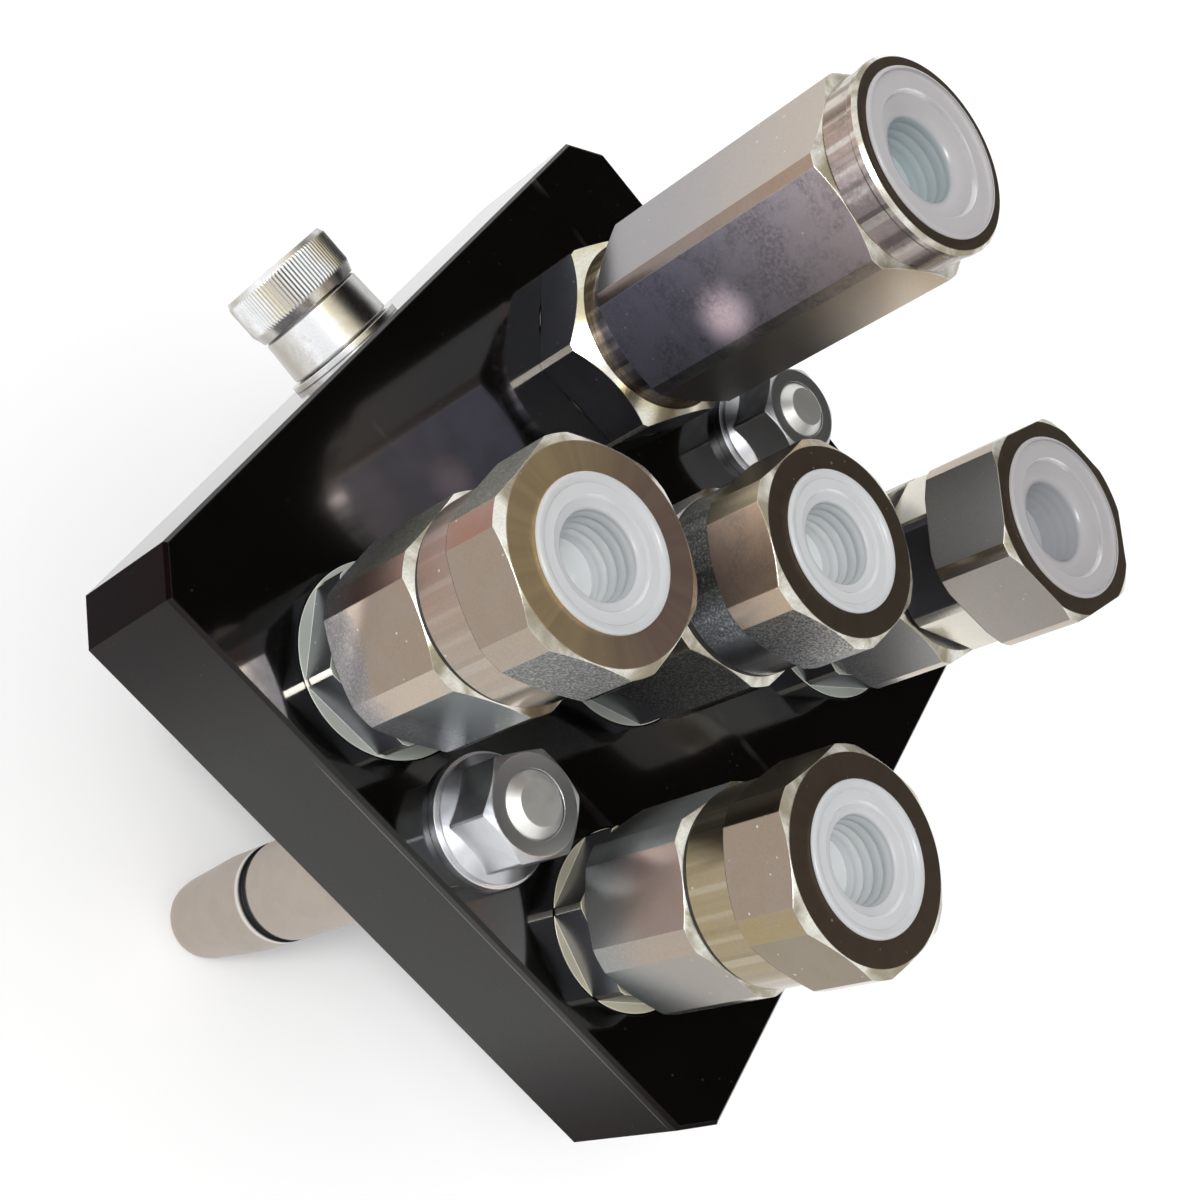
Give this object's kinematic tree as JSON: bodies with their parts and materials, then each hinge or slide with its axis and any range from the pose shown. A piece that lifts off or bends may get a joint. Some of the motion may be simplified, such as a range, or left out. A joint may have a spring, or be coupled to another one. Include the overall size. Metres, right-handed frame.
{
  "type": "hydraulic multi-coupling plate",
  "caption": "Black plate that carries hexagonal quick couplings with capped hose ports, guide pins and side cam rollers: the hose-side half of a hydraulic multi-coupling.",
  "frame": {"origin": "centre of the plate's mating face", "axes": "+Z out of the hose side, along the couplings; +X along the longer side of the plate, from the pair of small couplings to the pair of large ones; Y through the two cam rollers"},
  "size_m": [0.15, 0.1804, 0.19],
  "materials": {
    "black_anodised": "polished, black anodised",
    "plated_steel": "bright plated, turned and milled",
    "zinc_steel": "zinc plated",
    "pin_steel": "hardened and ground",
    "valve_steel": "turned",
    "spring_steel": "oiled wire",
    "black_rubber": "matt",
    "clear_plastic": "translucent polyethylene"
  },
  "bodies": {
    "coupling_block": {"plate": "black_anodised", "coupling_body_1": "plated_steel", "retaining_ring_1": "spring_steel", "valve_seal_1": "black_rubber", "valve_spring_1": "spring_steel", "stem_guide_1": "valve_steel", "port_piece_1": "plated_steel", "coupling_body_2": "plated_steel", "retaining_ring_2": "spring_steel", "valve_seal_2": "black_rubber", "valve_spring_2": "spring_steel", "stem_guide_2": "valve_steel", "port_piece_2": "plated_steel", "hex_sleeve_2": "plated_steel", "joint_seal_2": "black_rubber", "coupling_body_3": "plated_steel", "retaining_ring_3": "spring_steel", "valve_seal_3": "black_rubber", "valve_spring_3": "spring_steel", "stem_guide_3": "valve_steel", "port_piece_3": "plated_steel", "hex_sleeve_3": "plated_steel", "joint_seal_3": "black_rubber", "coupling_body_4": "plated_steel", "retaining_ring_4": "spring_steel", "valve_seal_4": "black_rubber", "valve_spring_4": "spring_steel", "stem_guide_4": "valve_steel", "port_piece_4": "plated_steel", "hex_sleeve_4": "plated_steel", "joint_seal_4": "black_rubber", "coupling_body_5": "plated_steel", "retaining_ring_5": "spring_steel", "valve_seal_5": "black_rubber", "valve_spring_5": "spring_steel", "stem_guide_5": "valve_steel", "port_piece_5": "plated_steel", "hex_sleeve_5": "plated_steel", "joint_seal_5": "black_rubber", "guide_pin_1": "pin_steel", "guide_pin_2": "pin_steel", "pin_washers": "zinc_steel", "pin_nuts": "zinc_steel", "cam_screws": "zinc_steel", "cam_washers": "zinc_steel"},
    "sliding_valve_1": {"valve_1": "valve_steel"},
    "dust_cap_1": {"port_cap_1": "clear_plastic"},
    "sliding_valve_2": {"valve_2": "valve_steel"},
    "dust_cap_2": {"port_cap_2": "clear_plastic"},
    "sliding_valve_3": {"valve_3": "valve_steel"},
    "dust_cap_3": {"port_cap_3": "clear_plastic"},
    "sliding_valve_4": {"valve_4": "valve_steel"},
    "dust_cap_4": {"port_cap_4": "clear_plastic"},
    "sliding_valve_5": {"valve_5": "valve_steel"},
    "dust_cap_5": {"port_cap_5": "clear_plastic"},
    "turning_roller_1": {"cam_roller_1": "zinc_steel"},
    "turning_roller_2": {"cam_roller_2": "zinc_steel"}
  },
  "joints": [
    {"name": "valve_1_opens", "type": "slide", "parent": "coupling_block", "child": "sliding_valve_1", "axis": [0, 0, 1], "range_m": [0, 0.006], "stiffness_N_per_m": 1500, "springref_m": -0.004, "deforming": ["valve_spring_1"]},
    {"name": "valve_2_opens", "type": "slide", "parent": "coupling_block", "child": "sliding_valve_2", "axis": [0, 0, 1], "range_m": [0, 0.006], "stiffness_N_per_m": 1500, "springref_m": -0.004, "deforming": ["valve_spring_2"]},
    {"name": "valve_3_opens", "type": "slide", "parent": "coupling_block", "child": "sliding_valve_3", "axis": [0, 0, 1], "range_m": [0, 0.006], "stiffness_N_per_m": 1500, "springref_m": -0.004, "deforming": ["valve_spring_3"]},
    {"name": "valve_4_opens", "type": "slide", "parent": "coupling_block", "child": "sliding_valve_4", "axis": [0, 0, 1], "range_m": [0, 0.006], "stiffness_N_per_m": 1500, "springref_m": -0.004, "deforming": ["valve_spring_4"]},
    {"name": "valve_5_opens", "type": "slide", "parent": "coupling_block", "child": "sliding_valve_5", "axis": [0, 0, 1], "range_m": [0, 0.006], "stiffness_N_per_m": 1500, "springref_m": -0.004, "deforming": ["valve_spring_5"]},
    {"name": "cap_1_pulls_out", "type": "slide", "parent": "coupling_block", "child": "dust_cap_1", "axis": [0, 0, 1], "range_m": [0, 0.025]},
    {"name": "cap_2_pulls_out", "type": "slide", "parent": "coupling_block", "child": "dust_cap_2", "axis": [0, 0, 1], "range_m": [0, 0.025]},
    {"name": "cap_3_pulls_out", "type": "slide", "parent": "coupling_block", "child": "dust_cap_3", "axis": [0, 0, 1], "range_m": [0, 0.025]},
    {"name": "cap_4_pulls_out", "type": "slide", "parent": "coupling_block", "child": "dust_cap_4", "axis": [0, 0, 1], "range_m": [0, 0.025]},
    {"name": "cap_5_pulls_out", "type": "slide", "parent": "coupling_block", "child": "dust_cap_5", "axis": [0, 0, 1], "range_m": [0, 0.025]},
    {"name": "roller_1_turns", "type": "hinge", "parent": "coupling_block", "child": "turning_roller_1", "pos_m": [-0.0013, 0.0758, 0.015], "axis": [0, 1, 0], "continuous": true},
    {"name": "roller_2_turns", "type": "hinge", "parent": "coupling_block", "child": "turning_roller_2", "pos_m": [-0.0013, -0.0758, 0.015], "axis": [0, -1, 0], "continuous": true}
  ]
}
